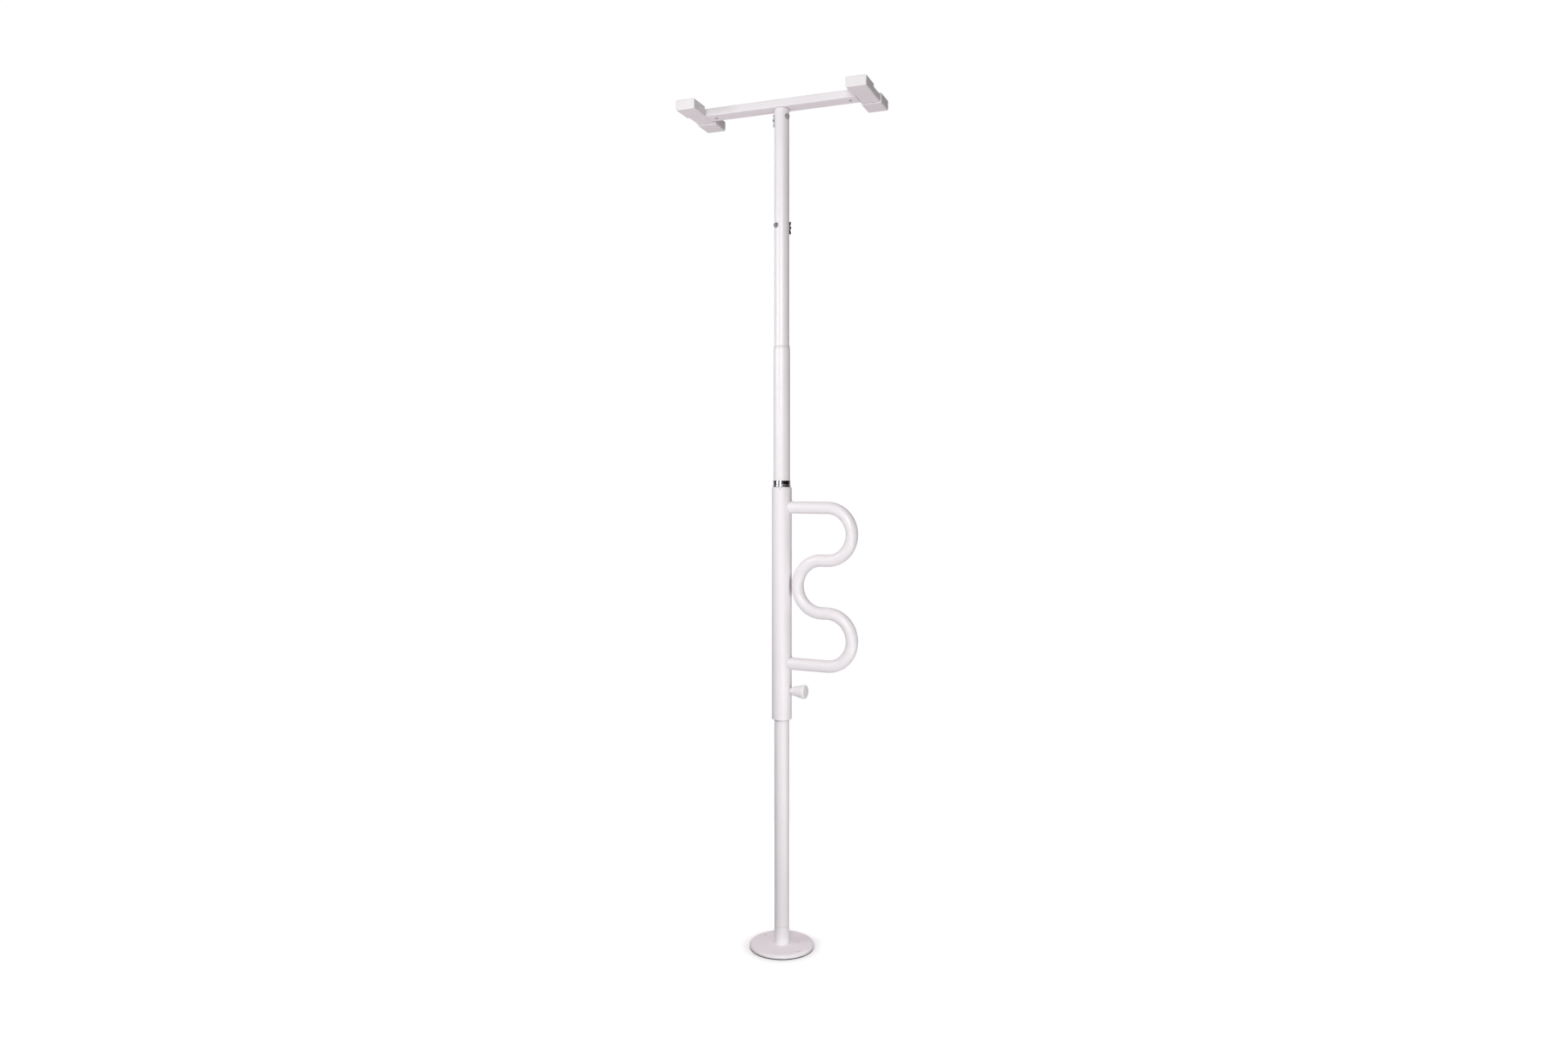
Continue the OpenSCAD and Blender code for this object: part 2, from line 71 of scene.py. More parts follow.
# ---------------------------------------------------------------- camera

LENS, SENSOR = 25.03, 36.0
SHIFT_X, SHIFT_Y = 0.0014, -0.0252
CLIP_NEAR, CLIP_FAR = 0.05, 100
CAMERA_DISTANCE, CAMERA_HEIGHT = 2.777, 1.180
CAMERA_TURN = math.radians(27.0)  # from the front, towards the grab bar's side
TOWARDS_CAMERA = Vector((math.sin(CAMERA_TURN), -math.cos(CAMERA_TURN), 0))
CAMERA_RIGHT = Vector((math.cos(CAMERA_TURN), math.sin(CAMERA_TURN), 0))

camera_data = bpy.data.cameras.new("Camera")
camera = bpy.data.objects.new("Camera", camera_data)
bpy.context.scene.collection.objects.link(camera)
bpy.context.scene.camera = camera
camera_data.lens, camera_data.sensor_width = LENS, SENSOR
camera_data.shift_x, camera_data.shift_y = SHIFT_X, SHIFT_Y
camera_data.clip_start, camera_data.clip_end = CLIP_NEAR, CLIP_FAR
camera.location = TOWARDS_CAMERA * CAMERA_DISTANCE + Vector((0, 0, CAMERA_HEIGHT))
camera.rotation_euler = (math.radians(90), 0, CAMERA_TURN)

# ---------------------------------------------------------------- materials

COLOUR_A, COLOUR_B, COLOUR_OUT = 6, 7, 2  # the mix node's sockets for colours


def add_node(tree, kind, **values):
    node = tree.nodes.new(kind)
    for key, value in values.items():
        setattr(node, key, value)
    return node


class Nodes:
    """A material's node tree, with short ways to add nodes and join them."""

    def __init__(self, name):
        self.material = bpy.data.materials.new(name)
        self.material.use_nodes = True
        self.tree = self.material.node_tree
        self.shader = self.tree.nodes["Principled BSDF"]
        self.place = self.add("ShaderNodeTexCoord").outputs["Object"]

    def add(self, kind, **values):
        return add_node(self.tree, kind, **values)

    def link(self, a, b):
        self.tree.links.new(a, b)

    def noise(self, scale, detail=2.0, rough=0.5, stretch=None):
        node = self.add("ShaderNodeTexNoise")
        node.inputs["Scale"].default_value = scale
        node.inputs["Detail"].default_value = detail
        node.inputs["Roughness"].default_value = rough
        source = self.place
        if stretch:
            mapping = self.add("ShaderNodeMapping")
            mapping.inputs["Scale"].default_value = stretch
            self.link(source, mapping.inputs["Vector"])
            source = mapping.outputs["Vector"]
        self.link(source, node.inputs["Vector"])
        return node.outputs["Fac"]

    def span(self, value, low, high, start=0.3, end=0.7):
        """The value's stretch from start to end, spread over low to high."""
        node = self.add("ShaderNodeMapRange")
        for key, v in (("From Min", start), ("From Max", end), ("To Min", low), ("To Max", high)):
            node.inputs[key].default_value = v
        self.link(value, node.inputs["Value"])
        return node.outputs["Result"]

    def mix(self, factor, a, b):
        """Colour a where the factor is 0 and b where it is 1; each is a tuple or a socket."""
        node = self.add("ShaderNodeMix", data_type="RGBA")
        self.link(factor, node.inputs["Factor"])
        for socket, value in ((node.inputs[COLOUR_A], a), (node.inputs[COLOUR_B], b)):
            if isinstance(value, tuple):
                socket.default_value = (*value, 1)
            else:
                self.link(value, socket)
        return node.outputs[COLOUR_OUT]

    def clouds(self, noise, a, b):
        """Colours a and b in soft patches."""
        return self.mix(self.span(noise, 0, 1), a, b)

    def corners(self, low=0.53, high=0.62):
        """0 on flat and hollow faces, up to 1 where the surface bends sharply outward; the mask of a
        painted edge highlight.
        """
        bend = self.add("ShaderNodeNewGeometry").outputs["Pointiness"]
        return self.span(bend, 0, 1, low, high)

    def painted_shade_in_gaps(self, distance, start, end):
        """Mask of painted shade: 1 deep in a gap or hollow, falling to 0 in the open."""
        node = self.add("ShaderNodeAmbientOcclusion", samples=4)
        node.inputs["Distance"].default_value = distance
        return self.span(node.outputs["AO"], 1, 0, start, end)

    def bump(self, *layers):
        """Surface relief; each layer is (height value, strength, depth in metres)."""
        normal = None
        for height, strength, depth in layers:
            node = self.add("ShaderNodeBump")
            node.inputs["Strength"].default_value = strength
            node.inputs["Distance"].default_value = depth
            self.link(height, node.inputs["Height"])
            if normal:
                self.link(normal, node.inputs["Normal"])
            normal = node.outputs["Normal"]
        self.link(normal, self.shader.inputs["Normal"])

    def finish(self, colour, roughness, **constants):
        """Join colour and roughness to the shader and set its other sockets by name."""
        self.link(colour, self.shader.inputs["Base Color"])
        self.link(roughness, self.shader.inputs["Roughness"])
        for key, value in constants.items():
            self.shader.inputs[key.replace("_", " ")].default_value = value
        return self.material


def powder_coat():
    n = Nodes("white_powder_coat")
    colour = n.clouds(n.noise(9, 3), (0.895, 0.852, 0.872), (0.92, 0.882, 0.90))
    # painted highlight: sharply bent edges turn lighter
    colour = n.mix(n.corners(), colour, (0.93, 0.905, 0.92))
    # painted shade: darker mauve in gaps and hollows, such as beside the rail's bends
    colour = n.mix(n.painted_shade_in_gaps(0.012, 0.2, 0.75), colour, (0.46, 0.38, 0.41))
    rough = n.span(n.noise(35, 4, 0.6), 0.28, 0.36)
    n.bump((n.noise(420, 2), 0.10, 0.0003), (n.noise(60, 2), 0.05, 0.0006))
    return n.finish(colour, rough, IOR=1.5)


def cap_rubber():
    n = Nodes("white_cap_rubber")
    colour = n.clouds(n.noise(30, 4), (0.885, 0.85, 0.862), (0.912, 0.882, 0.892))
    # painted highlight: sharply bent edges turn lighter
    colour = n.mix(n.corners(), colour, (0.925, 0.915, 0.92))
    # painted shade: darker in gaps and hollows
    colour = n.mix(n.painted_shade_in_gaps(0.006, 0.25, 0.75), colour, (0.66, 0.61, 0.62))
    rough = n.span(n.noise(90, 3), 0.48, 0.62)
    n.bump((n.noise(1400, 2), 0.12, 0.0002), (n.noise(50, 2), 0.03, 0.0005))
    return n.finish(colour, rough, IOR=1.46)


def pad_rubber():
    n = Nodes("grey_pad_rubber")
    colour = n.clouds(n.noise(60, 4), (0.035, 0.032, 0.033), (0.065, 0.06, 0.062))
    rough = n.span(n.noise(120, 3), 0.7, 0.85)
    n.bump((n.noise(900, 2), 0.3, 0.0004))
    return n.finish(colour, rough)


def chrome():
    n = Nodes("chrome")
    colour = n.clouds(n.noise(80, 3), (0.74, 0.70, 0.74), (0.80, 0.77, 0.80))
    rough = n.span(n.noise(200, 4, 0.6), 0.13, 0.19)
    n.bump((n.noise(700, 2, stretch=(1, 1, 0.15)), 0.03, 0.0002))
    return n.finish(colour, rough, Metallic=1.0)


def zinc():
    n = Nodes("zinc_steel")
    colour = n.clouds(n.noise(160, 4, 0.6), (0.42, 0.41, 0.43), (0.60, 0.59, 0.60))
    # painted highlight: sharply bent edges turn lighter
    colour = n.mix(n.corners(high=0.6), colour, (0.74, 0.73, 0.74))
    # painted shade: dark in gaps and hollows
    colour = n.mix(n.painted_shade_in_gaps(0.003, 0.2, 0.7), colour, (0.16, 0.145, 0.15))
    rough = n.span(n.noise(300, 4, 0.6), 0.22, 0.42)
    n.bump((n.noise(1500, 3), 0.2, 0.0002))
    return n.finish(colour, rough, Metallic=1.0)


def nylon():
    n = Nodes("nylon")
    colour = n.clouds(n.noise(50, 3), (0.78, 0.755, 0.75), (0.84, 0.82, 0.81))
    # painted shade: darker in gaps and hollows
    colour = n.mix(n.painted_shade_in_gaps(0.004, 0.25, 0.8), colour, (0.45, 0.41, 0.41))
    rough = n.span(n.noise(150, 3), 0.4, 0.52)
    n.bump((n.noise(800, 2, stretch=(1, 1, 0.2)), 0.12, 0.0002))
    return n.finish(colour, rough, IOR=1.53)


def knob_plastic():
    n = Nodes("knob_plastic")
    colour = n.clouds(n.noise(45, 3), (0.895, 0.86, 0.875), (0.92, 0.89, 0.905))
    # painted highlight: sharply bent edges turn lighter
    colour = n.mix(n.corners(), colour, (0.93, 0.92, 0.925))
    rough = n.span(n.noise(120, 4), 0.30, 0.42)
    n.bump((n.noise(1000, 2), 0.12, 0.0002))
    return n.finish(colour, rough, IOR=1.5)


def plain_metal(name, dark, light, low, high):
    n = Nodes(name)
    colour = n.clouds(n.noise(140, 4), dark, light)
    rough = n.span(n.noise(250, 4), low, high)
    n.bump((n.noise(1200, 2), 0.15, 0.0002))
    return n.finish(colour, rough, Metallic=1.0)


MATERIALS = {
    "white_powder_coat": powder_coat(),
    "white_cap_rubber": cap_rubber(),
    "grey_pad_rubber": pad_rubber(),
    "chrome": chrome(),
    "nylon": nylon(),
    "knob_plastic": knob_plastic(),
    "zinc_steel": zinc(),
    "spring_steel": plain_metal("spring_steel", (0.3, 0.3, 0.31), (0.45, 0.45, 0.46), 0.3, 0.45),
    "screw_steel": plain_metal("screw_steel", (0.34, 0.33, 0.33), (0.5, 0.49, 0.49), 0.25, 0.4),
    "bronze": plain_metal("bronze", (0.50, 0.34, 0.16), (0.66, 0.47, 0.24), 0.3, 0.45),
}
SLOT_OF = {part["node"]: part["material_slot"] for part in frame["record"]["subparts"]}

for node_name, node_object in frame["nodes"].items():
    node_object.data.materials.clear()
    node_object.data.materials.append(MATERIALS[SLOT_OF[node_name]])

# ---------------------------------------------------------------- mesh tools

TOO_SHORT = 1e-9
NEARLY_STRAIGHT = math.radians(89)
MERGE_DISTANCE = 1e-7
NORMAL_WEIGHT = 80


def skin(rings, closed=False, caps=(True, True)):
    """Faces between rings of equally many points; closed joins the last ring to the first."""
    count = len(rings[0])
    points = [p for ring in rings for p in ring]
    faces = []
    for i in range(len(rings) if closed else len(rings) - 1):
        a, b = i * count, ((i + 1) % len(rings)) * count
        for k in range(count):
            m = (k + 1) % count
            faces.append((a + k, a + m, b + m, b + k))
    if not closed:
        if caps[0]:
            faces.append(tuple(range(count - 1, -1, -1)))
        if caps[1]:
            faces.append(tuple(range(len(points) - count, len(points))))
    return points, faces


def rounded(points, radii, steps=5):
    """A closed outline with its corners rounded; radii is one number or one for each point."""
    out, count = [], len(points)
    for i, here in enumerate(points):
        r = radii[i] if isinstance(radii, (list, tuple)) else radii
        p = Vector(here)
        a, b = Vector(points[i - 1]) - p, Vector(points[(i + 1) % count]) - p
        if r <= 0 or min(a.length, b.length) < TOO_SHORT:
            out.append(tuple(p))
            continue
        a.normalize()
        b.normalize()
        half = a.angle(b) / 2
        if half > NEARLY_STRAIGHT:
            out.append(tuple(p))
            continue
        middle = p + (a + b).normalized() * (r / math.sin(half))
        start, end = p + a * (r / math.tan(half)), p + b * (r / math.tan(half))
        u, v = start - middle, end - middle
        sweep = u.angle(v)
        for s in range(steps + 1):
            t = s / steps
            w = (u * math.sin((1 - t) * sweep) + v * math.sin(t * sweep)) / math.sin(sweep)
            out.append(tuple(middle + w))
    return out


def turned(outline, sides=128, wave=None):
    """Rings of an outline of (radius, height) in mm, turned about Z.

    wave(angle, radius, height), if given, is added to the radius.
    """
    rings = []
    for radius, height in outline:
        ring = []
        for k in range(sides):
            angle = TAU * k / sides
            r = radius + (wave(angle, radius, height) if wave else 0)
            ring.append(Vector((r * math.cos(angle), r * math.sin(angle), height)))
        rings.append(ring)
    return rings


BORE_EDGE = 0.2


def tube_outline(outer, inner, z0, z1, r_low=0.5, r_high=0.5, levels=()):
    """Section of a tube with rounded edges; levels are the heights of extra rings, from low to high."""
    points = [(inner, z0), (outer, z0)] + [(outer, z) for z in levels]
    radii = [BORE_EDGE, r_low] + [0] * len(levels)
    points += [(outer, z1), (inner, z1)] + [(inner, z) for z in reversed(levels)]
    radii += [r_high, BORE_EDGE] + [0] * len(levels)
    return rounded(points, radii)


def box_outline(width, height, radius, steps=6):
    """Rounded rectangle round the origin."""
    w, h = width / 2, height / 2
    return rounded([(-w, -h), (w, -h), (w, h), (-w, h)], radius, steps)


ALONG_X = Matrix(((0, 0, 1, 0), (0, 1, 0, 0), (-1, 0, 0, 0), (0, 0, 0, 1)))  # turns +Z to +X


def place(rings, matrix):
    return [[matrix @ p for p in ring] for ring in rings]


def joined(parts):
    """One (points, faces) from several."""
    points, faces = [], []
    for part_points, part_faces in parts:
        first = len(points)
        points += [Vector(p) for p in part_points]
        faces += [tuple(first + i for i in face) for face in part_faces]
    return points, faces


def new_object(name, points, faces):
    mesh = bpy.data.meshes.new(name)
    mesh.from_pydata(points, [], faces)
    obj = bpy.data.objects.new(name, mesh)
    bpy.context.scene.collection.objects.link(obj)
    return obj


def face_outward(mesh, merge=0.0):
    """Faces turned outward, after points closer than merge are made one."""
    work = bmesh.new()
    work.from_mesh(mesh)
    if merge:
        bmesh.ops.remove_doubles(work, verts=work.verts, dist=merge)
    bmesh.ops.recalc_face_normals(work, faces=work.faces)
    work.to_mesh(mesh)
    work.free()


def piece(name, parts, body, slot, replaced=(), sharp=38, weighted=True):
    """One object from (points, faces) parts in mm, riding on a body and standing for CAD nodes.

    Shading is smooth up to the sharp angle.
    """
    points, faces = joined(parts)
    obj = new_object(name, [p * MM for p in points], faces)
    mesh = obj.data
    mesh.validate()
    face_outward(mesh, MERGE_DISTANCE)
    mesh.polygons.foreach_set("use_smooth", [True] * len(mesh.polygons))
    mesh.set_sharp_from_angle(angle=math.radians(sharp))
    mesh.materials.clear()
    mesh.materials.append(MATERIALS[slot])
    if weighted:
        modifier = obj.modifiers.new("Weighted normals", "WEIGHTED_NORMAL")
        modifier.keep_sharp = True
        modifier.weight = NORMAL_WEIGHT
    if body:
        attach(obj, body)
    if replaced:
        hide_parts(*replaced)
    return obj


def cut(parts, cutters):
    """(points, faces) of the parts in mm, less the cutters, through an exact boolean."""
    solid, tool = (new_object("cut", *joined(group)) for group in (parts, cutters))
    for obj in (solid, tool):
        face_outward(obj.data)
    modifier = solid.modifiers.new("Cut", "BOOLEAN")
    modifier.operation, modifier.solver, modifier.object = "DIFFERENCE", "EXACT", tool
    evaluated = solid.evaluated_get(bpy.context.evaluated_depsgraph_get())
    result = evaluated.to_mesh()
    out = [tuple(v.co) for v in result.vertices], [tuple(p.vertices) for p in result.polygons]
    evaluated.to_mesh_clear()
    for obj in (solid, tool):
        bpy.data.objects.remove(obj)
    return out


BEAD_RIPPLE, BEAD_FLATNESS = 0.05, 0.7


def bead(loop, radius, pitch=2.6, sides=10):
    """A weld bead along a closed loop of points in mm, with the ripples of its passes."""
    count = len(loop)
    rings, travelled = [], 0.0
    for i, p in enumerate(loop):
        ahead = (loop[(i + 1) % count] - loop[i - 1]).normalized()
        outward = Vector((p.x, p.y, 0)).normalized()
        side = ahead.cross(outward).normalized()
        up = side.cross(ahead)
        travelled += (p - loop[i - 1]).length if i else 0
        r = radius * (1 + BEAD_RIPPLE * math.sin(TAU * travelled / pitch))
        rings.append([
            p + side * (r * math.cos(a)) + up * (BEAD_FLATNESS * r * math.sin(a))
            for a in (TAU * k / sides for k in range(sides))
        ])
    return skin(rings, closed=True)


def node_mm(name):
    """Lowest and highest corner of a CAD node, in mm."""
    low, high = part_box(name)
    return low / MM, high / MM


# ---------------------------------------------------------------- floor end

plate_low, plate_high = node_mm("floor_plate")
plate_r, plate_top, plate_bottom = plate_high.x, plate_high.z, plate_low.z
pole_low, pole_high = node_mm("lower_tube")
pole_r = pole_high.x
POLE_WALL = 1.5
bore_r = pole_r - POLE_WALL
PLATE_BORE_R, PLATE_RINGS, PLATE_FOOT_EDGE = 14.0, (40.0, 66.0), 0.6
RIM_WIDTH, RIM_DROP, RIM_STEPS = 8.0, 6.6, 16
HOLE_PITCH_R, HOLE_TURN, HOLE_R, COUNTERSINK_R = 65.0, math.radians(-23), 3.0, 5.2
HOLE_BOTTOM = -3


def plate_parts():
    """Plate with a rolled rim and two countersunk screw holes."""
    rim = [
        (plate_r - RIM_WIDTH * (1 - math.sin(a)), plate_top - RIM_DROP * (1 - math.cos(a)))
        for a in (math.pi / 2 * k / RIM_STEPS for k in range(RIM_STEPS + 1))
    ]
    top = [(r, plate_top) for r in (PLATE_BORE_R, *PLATE_RINGS)]
    foot = [
        (plate_r, plate_bottom + PLATE_FOOT_EDGE),
        (plate_r - PLATE_FOOT_EDGE, plate_bottom),
        (PLATE_BORE_R, plate_bottom),
    ]
    hole = turned([
        (HOLE_R, HOLE_BOTTOM),
        (HOLE_R, plate_top - (COUNTERSINK_R - HOLE_R)),
        (COUNTERSINK_R, plate_top),
        (COUNTERSINK_R + 1, plate_top + 1),
    ], 48)
    cutters = []
    for turn in (0, math.pi):
        at = Matrix.Rotation(HOLE_TURN + turn, 4, "Z") @ Matrix.Translation((HOLE_PITCH_R, 0, 0))
        cutters.append(skin(place(hole, at)))
    return [cut([skin(turned(top + rim + foot, 192), closed=True)], cutters)]


piece("floor_plate_steel", plate_parts(), "base_pole", "white_powder_coat", ["floor_plate"], sharp=30)

STUB_BORE_R, STUB_SINK = 13.5, 0.5
JOINT_EDGE, TUBE_EDGE = 1.1, 0.5  # the stub and lower tube meet in a shallow groove
WELD_FOOT, WELD_HOLLOW, WELD_SINK, WELD_STEPS = 4.2, 0.9, 0.4, 8
RIPPLES, RIPPLE_HEIGHT, RIPPLE_OUT, RIPPLE_REACH = 46, 0.22, 1.6, 2.2


def weld_ripple(angle, radius, height):
    """Ripples of the weld's passes, strongest halfway across its face."""
    share = 1 - min(1.0, abs(radius - pole_r - RIPPLE_OUT) / RIPPLE_REACH)
    return RIPPLE_HEIGHT * share * math.sin(angle * RIPPLES)


def stub_parts():
    """Stub of the spigot, and the hollow fillet weld round its foot."""
    stub = tube_outline(pole_r, STUB_BORE_R, plate_top - STUB_SINK, pole_low.z, 0, JOINT_EDGE)
    weld = []
    for k in range(WELD_STEPS + 1):
        a = math.pi / 2 * k / WELD_STEPS
        out = WELD_FOOT * (1 - math.cos(a)) ** WELD_HOLLOW
        up = WELD_FOOT * (1 - math.sin(a)) ** WELD_HOLLOW
        weld.append((pole_r + out, plate_top + up))
    weld += [
        (pole_r + WELD_FOOT, plate_top - WELD_SINK),
        (pole_r - 1, plate_top - WELD_SINK),
        (pole_r - 1, plate_top + WELD_FOOT),
    ]
    return [
        skin(turned(stub), closed=True),
        skin(turned(weld, 8 * RIPPLES, weld_ripple), closed=True),
    ]


piece("base_stub_and_weld", stub_parts(), "base_pole", "white_powder_coat", ["base_spigot"], sharp=45)
lower_outline = tube_outline(pole_r, bore_r, pole_low.z, pole_high.z, JOINT_EDGE, TUBE_EDGE)
piece(
    "lower_tube_shell", [skin(turned(lower_outline), closed=True)],
    "base_pole", "white_powder_coat", ["lower_tube"],
)

# ---------------------------------------------------------------- turning centre pole

centre_low, centre_high = node_mm("centre_tube")
centre_r = centre_high.x
CENTRE_WALL = 1.3
CENTRE_EDGES = 0.4, 0.6
BUSH_GAP = 0.05
housing_low, housing_high = node_mm("plunger_housing")
lock_z = (housing_low.z + housing_high.z) / 2
LOCK_HOLES, LOCK_HOLE_R, LOCK_BAND, LOCK_INSIDE = 8, 4.3, 12.0, 5
lock_levels = (lock_z - LOCK_BAND, lock_z + LOCK_BAND)


def lock_hole(turn, radius, reach):
    """Cutter for one hole of the lock pin, from inside the tube out to the reach."""
    at = Matrix.Rotation(turn, 4, "Z") @ Matrix.Translation((0, 0, lock_z)) @ ALONG_X
    return skin(place(turned([(radius, centre_r - LOCK_INSIDE), (radius, reach)], 40), at))


def centre_parts():
    """Centre tube with its ring of lock holes."""
    bore = centre_r - CENTRE_WALL
    outline = tube_outline(centre_r, bore, centre_low.z, centre_high.z, *CENTRE_EDGES, lock_levels)
    holes = [lock_hole(TAU * k / LOCK_HOLES, LOCK_HOLE_R, centre_r + 2) for k in range(LOCK_HOLES)]
    return [cut([skin(turned(outline), closed=True)], holes)]


piece("centre_tube_shell", centre_parts(), "centre_pole", "white_powder_coat", ["centre_tube"], sharp=32)

bush_low, bush_high = node_mm("top_guide_bush")
LIP_R, LIP_GAP = bush_high.x, 0.1


def bush_parts():
    """Guide bush inside the centre tube, with a lip on the tube's end."""
    inner, outer = pole_r + BUSH_GAP, centre_r - CENTRE_WALL
    outline = rounded(
        [(inner, bush_low.z), (outer, bush_low.z), (outer, centre_high.z),
         (LIP_R, centre_high.z + LIP_GAP), (LIP_R, bush_high.z), (inner, bush_high.z)],
        [0.1, 0.3, 0.0, 0.2, 0.7, 0.15],
    )
    return [skin(turned(outline), closed=True)]


piece("top_guide_bush_lip", bush_parts(), "centre_pole", "nylon", ["top_guide_bush"])

collar_low, collar_high = node_mm("pivot_collar")
COLLAR_LOW_H, COLLAR_GROOVE_H = 4.2, 1.4
LOW_BAND, GROOVE, HIGH_BAND = 1.6, 0.6, 1.1
GRUB_HOLE_R = 2.7


def collar_parts():
    """Two bands with a groove between them, and the grub screw's hole at the back."""
    z0, z3 = collar_low.z, collar_high.z
    z1 = z0 + COLLAR_LOW_H
    z2 = z1 + COLLAR_GROOVE_H
    r = centre_r
    outline = rounded(
        [(r, z0), (r + LOW_BAND, z0), (r + LOW_BAND, z1), (r + GROOVE, z1), (r + GROOVE, z2),
         (r + HIGH_BAND, z2), (r + HIGH_BAND, z3), (r, z3)],
        [0.0, 0.5, 0.7, 0.25, 0.25, 0.35, 0.6, 0.1],
    )
    at = Matrix.Rotation(math.radians(90), 4, "Z") @ Matrix.Translation((0, 0, (z2 + z3) / 2)) @ ALONG_X
    hole = skin(place(turned([(GRUB_HOLE_R, r - 1), (GRUB_HOLE_R, r + 2)], 48), at))
    return [cut([skin(turned(outline, 160), closed=True)], [hole])]


piece("pivot_collar_bands", collar_parts(), "centre_pole", "chrome", ["pivot_collar"], sharp=32)

# ---------------------------------------------------------------- pivoting grab bar

sleeve_low, sleeve_high = node_mm("grip_sleeve")
sleeve_r = sleeve_high.x
SLEEVE_WALL = 1.6
SLEEVE_EDGES = 0.5, 0.9
NOTCH_TURN, NOTCH_W, NOTCH_DEPTH, NOTCH_TIP = math.radians(-72), 3.4, 5.0, 0.4
NOTCH_OVER, NOTCH_FLARE, NOTCH_REACH = 1.5, 0.8, 5
HOUSING_BORE_R = 6.5
PIN_HOLE_R = HOUSING_BORE_R - 0.3


def sleeve_parts():
    """Sleeve with the V mark cut in its top edge and the plunger's hole."""
    bore = sleeve_r - SLEEVE_WALL
    outline = tube_outline(sleeve_r, bore, sleeve_low.z, sleeve_high.z, *SLEEVE_EDGES, lock_levels)
    at = Matrix.Rotation(NOTCH_TURN, 4, "Z") @ Matrix.Translation((sleeve_r, 0, sleeve_high.z))
    w = NOTCH_W / 2
    half = [(w + NOTCH_FLARE, NOTCH_OVER), (w, 0), (NOTCH_TIP, -NOTCH_DEPTH)]
    vee = [(-y, z) for y, z in half] + half[::-1]
    notch = skin([[at @ Vector((x, y, z)) for y, z in vee] for x in (-NOTCH_REACH, NOTCH_REACH)])
    hole = lock_hole(0, PIN_HOLE_R, sleeve_r + 2)
    return [cut([skin(turned(outline, 160), closed=True)], [notch, hole])]


piece("grip_sleeve_shell", sleeve_parts(), "grab_bar", "white_powder_coat", ["grip_sleeve"], sharp=32)

upper_bush_low, upper_bush_high = node_mm("upper_pivot_bush")


def pivot_bush_parts():
    inner = centre_r + BUSH_GAP
    outline = rounded(
        [(inner, upper_bush_low.z), (upper_bush_high.x, upper_bush_low.z),
         (upper_bush_high.x, upper_bush_high.z), (inner, upper_bush_high.z)],
        [0.2, 0.3, 0.7, 0.3],
    )
    return [skin(turned(outline), closed=True)]


piece("upper_pivot_bush_lip", pivot_bush_parts(), "grab_bar", "nylon", ["upper_pivot_bush"])

rail_high = node_mm("grab_rail")[1]
rail_r = rail_high.y
RAIL_BEND_R, RAIL_NEAR = 66.0, 45.0
ARM_STEPS, BEND_STEPS, LINK_STEPS, RAIL_SIDES = 14, 48, 4, 64
rail_top = rail_high.z - rail_r
far_x = rail_high.x - rail_r - RAIL_BEND_R
near_x = RAIL_NEAR + RAIL_BEND_R
COPE_R = sleeve_r - 0.8  # the rail and the plunger's neck end just inside the sleeve's face


def rail_path():
    """Middle line of the rail in the XZ plane, as (x, z, direction angle)."""
    path = []

    def straight(x0, x1, z, angle, steps):
        for s in range(steps):
            path.append((x0 + (x1 - x0) * s / steps, z, angle))

    def bend(x, z, side):
        for s in range(BEND_STEPS):
            a = math.pi * s / BEND_STEPS
            angle = -a if side > 0 else math.pi + a
            path.append((x + side * RAIL_BEND_R * math.sin(a), z + RAIL_BEND_R * math.cos(a), angle))

    z = [rail_top - 2 * RAIL_BEND_R * i for i in range(4)]
    straight(COPE_R, far_x, z[0], 0.0, ARM_STEPS)
    bend(far_x, z[0] - RAIL_BEND_R, 1)
    straight(far_x, near_x, z[1], math.pi, LINK_STEPS)
    bend(near_x, z[1] - RAIL_BEND_R, -1)
    straight(near_x, far_x, z[2], 0.0, LINK_STEPS)
    bend(far_x, z[2] - RAIL_BEND_R, 1)
    straight(far_x, COPE_R, z[3], math.pi, ARM_STEPS)
    path.append((COPE_R, z[3], math.pi))
    return path


def coped(ring):
    """The ring's points moved along X onto the sleeve's curve."""
    return [Vector((math.sqrt(COPE_R ** 2 - p.y ** 2), p.y, p.z)) for p in ring]


def rail_parts():
    """The bent tube, open at both ends, where it meets the sleeve."""
    sideways, rings = Vector((0, 1, 0)), []
    for x, z, angle in rail_path():
        middle, across = Vector((x, 0, z)), Vector((-math.sin(angle), 0, math.cos(angle)))
        rings.append([
            middle + across * (rail_r * math.cos(a)) + sideways * (rail_r * math.sin(a))
            for a in (TAU * k / RAIL_SIDES for k in range(RAIL_SIDES))
        ])
    rings[0], rings[-1] = coped(rings[0]), coped(rings[-1])
    return [skin(rings, caps=(False, False))]


RAIL_BEAD, NECK_BEAD = 1.9, 1.2
RAIL_BEAD_OUT, NECK_BEAD_OUT = 0.7, 0.5
RAIL_BEAD_LIFT, NECK_BEAD_LIFT = 0.3, 0.2


def root_loop(radius, z0, lift, steps=240):
    """Closed loop where a tube of that radius along +X meets the sleeve, lifted off it."""
    loop = []
    for k in range(steps):
        a = TAU * k / steps
        y = radius * math.cos(a)
        loop.append(Vector((math.sqrt((sleeve_r + lift) ** 2 - y * y), y, z0 + radius * math.sin(a))))
    return loop


piece("curved_rail_tube", rail_parts(), "grab_bar", "white_powder_coat", ["grab_rail"], weighted=False)
for label, z in (("upper", rail_top), ("lower", rail_top - 6 * RAIL_BEND_R)):
    piece(
        f"rail_weld_{label}", [bead(root_loop(rail_r + RAIL_BEAD_OUT, z, RAIL_BEAD_LIFT), RAIL_BEAD)],
        "grab_bar", "white_powder_coat", sharp=60, weighted=False,
    )

# ---------------------------------------------------------------- lock plunger

housing_r = housing_high.y
AT_LOCK = Matrix.Translation((0, 0, lock_z)) @ ALONG_X
HOUSING_ROOT = 28.0


